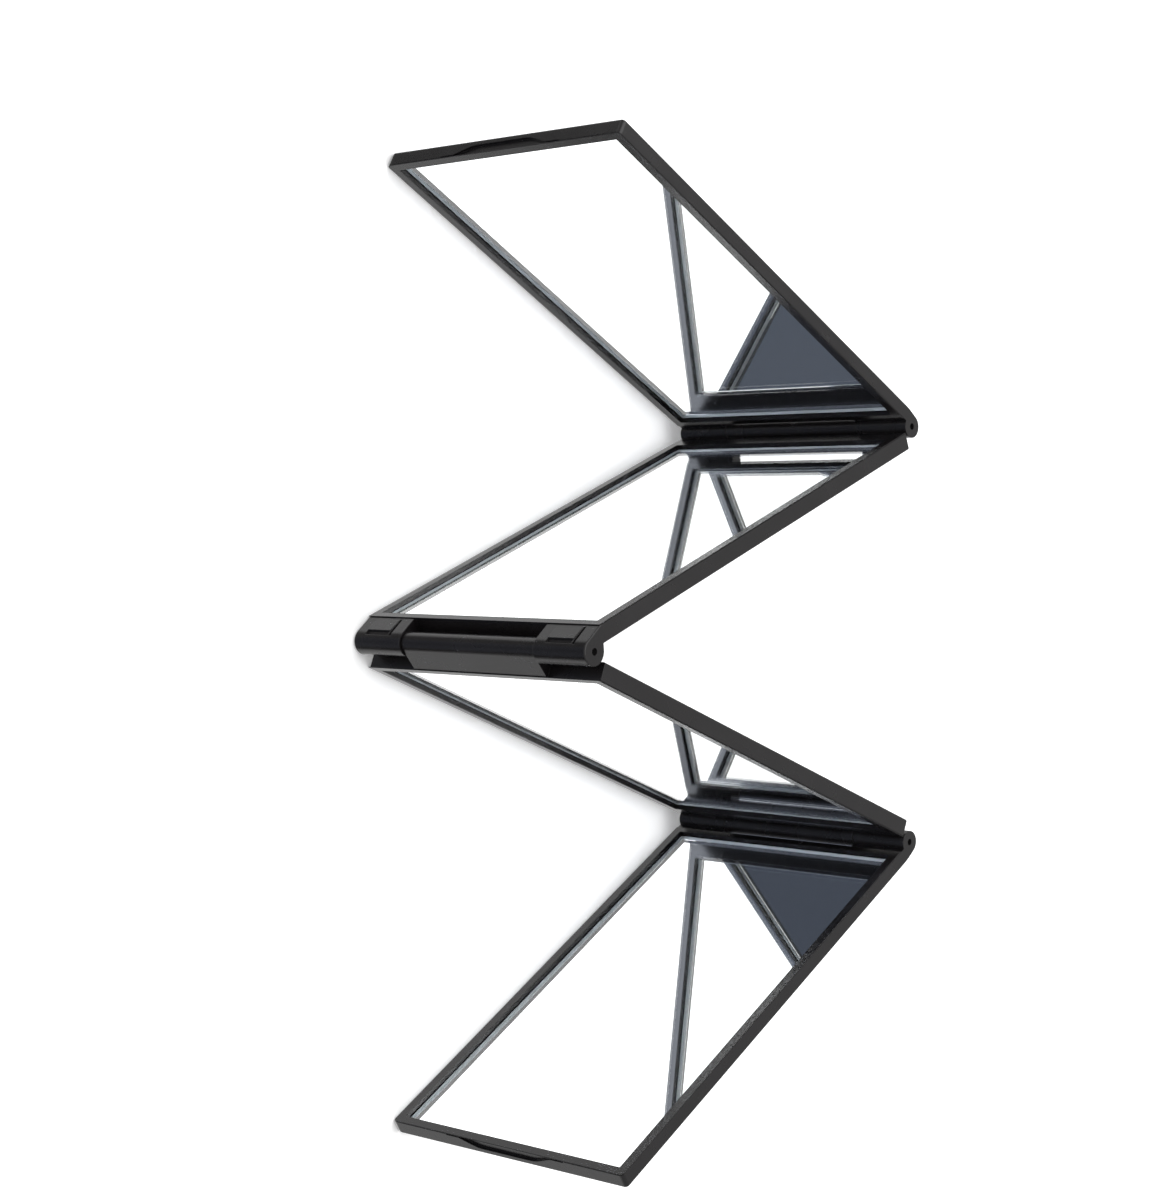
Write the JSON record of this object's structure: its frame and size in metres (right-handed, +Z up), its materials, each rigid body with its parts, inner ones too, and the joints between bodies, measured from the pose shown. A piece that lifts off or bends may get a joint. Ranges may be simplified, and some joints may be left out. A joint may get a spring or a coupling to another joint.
{
  "type": "folding mirror",
  "caption": "Pocket mirror of framed mirror panels joined in a zigzag by pinned knuckle hinges; it stands like a screen, opens out flat and shuts into a slim stack.",
  "frame": {"origin": "bottom centre of the bounding box at rest, on the surface that the mirror stands on", "axes": "+Z up along the hinge axes; +X across the zigzag from the left outer panel to the right outer panel; -Y towards the person who looks in"},
  "size_m": [0.2806, 0.149, 0.088],
  "materials": {
    "shell_plastic": "satin black moulded plastic with a very fine texture",
    "frame_plastic": "satin black moulded plastic, smoother than the shells",
    "mirror_glass": "clear glass silvered on its back, ground edges",
    "foam_pad": "white double-sided foam tape",
    "pin_steel": "plain steel wire, cut and chamfered"
  },
  "bodies": {
    "left_outer_panel": {"left_outer_shell": "shell_plastic", "left_outer_frame": "frame_plastic", "left_outer_mirror": "mirror_glass", "left_outer_pad": "foam_pad", "left_hinge_top_pin": "pin_steel", "left_hinge_bottom_pin": "pin_steel"},
    "left_inner_panel": {"left_inner_shell": "shell_plastic", "left_inner_frame": "frame_plastic", "left_inner_mirror": "mirror_glass", "left_inner_pad": "foam_pad", "middle_hinge_top_pin": "pin_steel", "middle_hinge_bottom_pin": "pin_steel"},
    "right_inner_panel": {"right_inner_shell": "shell_plastic", "right_inner_frame": "frame_plastic", "right_inner_mirror": "mirror_glass", "right_inner_pad": "foam_pad"},
    "right_outer_panel": {"right_outer_shell": "shell_plastic", "right_outer_frame": "frame_plastic", "right_outer_mirror": "mirror_glass", "right_outer_pad": "foam_pad", "right_hinge_top_pin": "pin_steel", "right_hinge_bottom_pin": "pin_steel"}
  },
  "joints": [
    {"name": "left_hinge", "type": "hinge", "parent": "left_inner_panel", "child": "left_outer_panel", "pos_m": [-0.0643, 0.07112, 0.044], "axis": [0, 0, 1], "range_deg": [-130, 50]},
    {"name": "middle_hinge", "type": "hinge", "parent": "left_inner_panel", "child": "right_inner_panel", "pos_m": [-0.00197, -0.07062, 0.044], "axis": [0, 0, 1], "range_deg": [-137.3, 42.7]},
    {"name": "right_hinge", "type": "hinge", "parent": "right_inner_panel", "child": "right_outer_panel", "pos_m": [0.06092, 0.0709, 0.044], "axis": [0, 0, 1], "range_deg": [-51.5, 128.5]}
  ]
}
